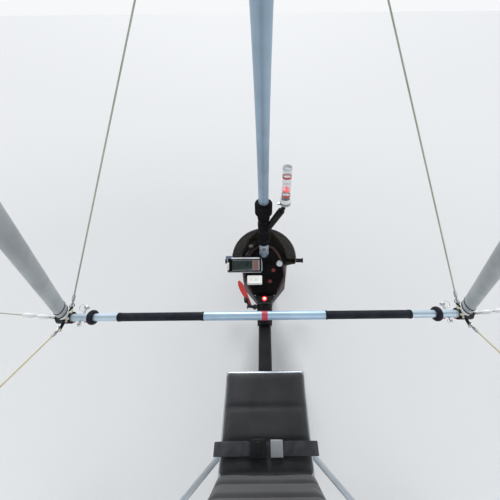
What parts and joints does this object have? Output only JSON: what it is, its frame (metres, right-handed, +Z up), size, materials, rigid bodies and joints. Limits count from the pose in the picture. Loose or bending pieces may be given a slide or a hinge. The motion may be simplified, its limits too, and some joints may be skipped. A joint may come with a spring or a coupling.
{
  "type": "microlight trike",
  "caption": "Weight-shift microlight: an open three-wheeled pod with a pusher engine hung below a flex wing with its control frame.",
  "frame": {"origin": "on the ground, below the middle of the whole aircraft's bounding box", "axes": "+X ahead, +Y to the pilot's left, +Z up"},
  "size_m": [3.158, 9.6242, 3.2618],
  "materials": {
    "frame_black": "satin black powder coat",
    "frame_silver": "satin anodised",
    "strut_grey": "blue-grey satin anodised",
    "plate_alloy": "machined",
    "fastener_steel": "zinc plated",
    "foam_black": "matt foam",
    "clamp_plastic": "matt moulded",
    "clear_plastic": "clear moulded tube",
    "pod_black": "semi-gloss moulded shell",
    "panel_black": "matt sheet",
    "instrument_white": "moulded",
    "display_silver": "satin casing",
    "screen_smoke": "tinted clear sheet",
    "seat_fabric": "woven cover over foam",
    "tank_plastic": "translucent moulded",
    "engine_cast": "cast",
    "engine_fins": "cast, painted black",
    "exhaust_steel": "heat-resistant black",
    "filter_red": "pleated",
    "fork_steel": "satin black powder coat",
    "grip_rubber": "matt",
    "tyre": "moulded tread",
    "rim_alloy": "cast",
    "blade_carbon": "polished composite",
    "block_plastic": "machined nylon",
    "wing_alloy": "anodised tube",
    "upright_grey": "anodised extrusion",
    "sleeve_silver": "bright anodised",
    "knuckle_black": "moulded over alloy",
    "sail_cloth": "woven sailcloth",
    "band_red": "adhesive tape",
    "lever_red": "moulded",
    "wire_steel": "sleeved stranded wire"
  },
  "bodies": {
    "frame": {"base_tube": "frame_black", "mast": "frame_silver", "mast_head": "plate_alloy", "hang_bolt": "fastener_steel", "front_strut": "strut_grey", "strut_wrap": "foam_black", "airspeed_clamp": "clamp_plastic", "airspeed_tube": "clear_plastic", "rear_legs": "frame_black", "gear_stays": "frame_silver", "nose_pod": "pod_black", "instrument_panel": "panel_black", "panel_instruments": "instrument_white", "display_unit": "display_silver", "display_mount": "clamp_plastic", "windscreen": "screen_smoke", "hand_lever": "lever_red", "lever_pivot": "frame_black", "carburettor": "engine_cast", "seat_frame": "frame_silver", "seat_base_pad": "seat_fabric", "seat_back_pad": "seat_fabric", "fuel_tank": "tank_plastic", "engine_mount": "plate_alloy", "engine_crankcase": "engine_cast", "engine_cylinder": "engine_fins", "drive_housing": "engine_cast", "exhaust": "exhaust_steel", "air_filter": "filter_red"},
    "fork": {"nose_fork": "fork_steel", "foot_pegs": "grip_rubber"},
    "nose_wheel": {"nose_tyre": "tyre", "nose_rim": "rim_alloy"},
    "wheel_left": {"main_tyre_left": "tyre", "main_rim_left": "rim_alloy"},
    "wheel_right": {"main_tyre_right": "tyre", "main_rim_right": "rim_alloy"},
    "propeller": {"propeller_hub": "plate_alloy", "propeller_blades": "blade_carbon"},
    "hang_link": {"hang_block": "block_plastic"},
    "wing": {"wing_keel": "wing_alloy", "leading_edges": "wing_alloy", "nose_plates": "plate_alloy", "cross_tubes": "wing_alloy", "apex_bracket": "knuckle_black", "uprights": "upright_grey", "upright_ends": "instrument_white", "corner_fittings": "knuckle_black", "base_bar": "wing_alloy", "centre_band": "band_red", "bar_sleeve": "sleeve_silver", "bar_grips": "grip_rubber", "king_post": "upright_grey", "sail": "sail_cloth", "front_wires": "wire_steel", "rear_wires": "wire_steel", "side_wires": "wire_steel", "top_wires": "wire_steel"}
  },
  "joints": [
    {"name": "steering", "type": "hinge", "parent": "frame", "child": "fork", "pos_m": [1.34452, 0, 0.3821], "axis": [-0.342, 0, 0.9397], "range_deg": [-25, 25]},
    {"name": "nose_wheel_spin", "type": "hinge", "parent": "fork", "child": "nose_wheel", "pos_m": [1.429, 0, 0.15], "axis": [0, 1, 0], "continuous": true},
    {"name": "wheel_left_spin", "type": "hinge", "parent": "frame", "child": "wheel_left", "pos_m": [-0.188, 0.735, 0.175], "axis": [0, 1, 0], "continuous": true},
    {"name": "wheel_right_spin", "type": "hinge", "parent": "frame", "child": "wheel_right", "pos_m": [-0.188, -0.735, 0.175], "axis": [0, 1, 0], "continuous": true},
    {"name": "propeller_spin", "type": "hinge", "parent": "frame", "child": "propeller", "pos_m": [-0.418, 0, 0.8], "axis": [1, 0, 0], "continuous": true},
    {"name": "wing_pitch", "type": "hinge", "parent": "frame", "child": "hang_link", "pos_m": [0.242, 0, 2.27], "axis": [0, 1, 0], "range_deg": [-16, 12]},
    {"name": "wing_roll", "type": "hinge", "parent": "hang_link", "child": "wing", "pos_m": [0.23481, 0, 2.34465], "axis": [0.9954, 0, 0.0958], "range_deg": [-18, 18]}
  ]
}
